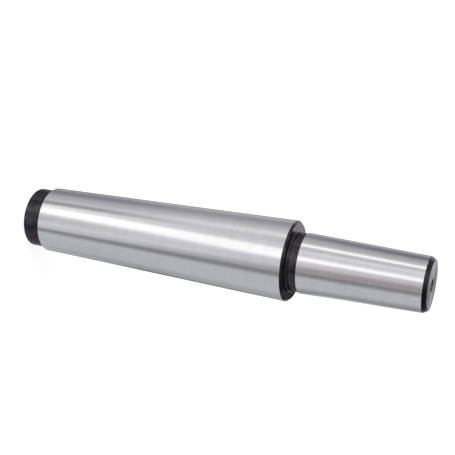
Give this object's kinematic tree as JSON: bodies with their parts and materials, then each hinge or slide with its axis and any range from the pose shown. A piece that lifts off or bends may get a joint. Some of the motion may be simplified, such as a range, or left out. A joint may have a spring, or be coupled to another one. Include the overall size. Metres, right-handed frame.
{
  "type": "threaded drill chuck arbor",
  "caption": "Ground steel arbor: its short cone carries a drill chuck, its long cone seats in a machine spindle, and a draw bar screws into its rear end.",
  "frame": {"origin": "middle of the rear face, on the axis", "axes": "+Z along the axis, from the rear face with the threaded hole to the front face of the chuck's cone; X and Y are free, because the part is a body of revolution"},
  "size_m": [0.024, 0.024, 0.1272],
  "materials": {
    "ground_steel": "satin"
  },
  "bodies": {
    "root": {"arbor": "ground_steel"}
  },
  "joints": []
}
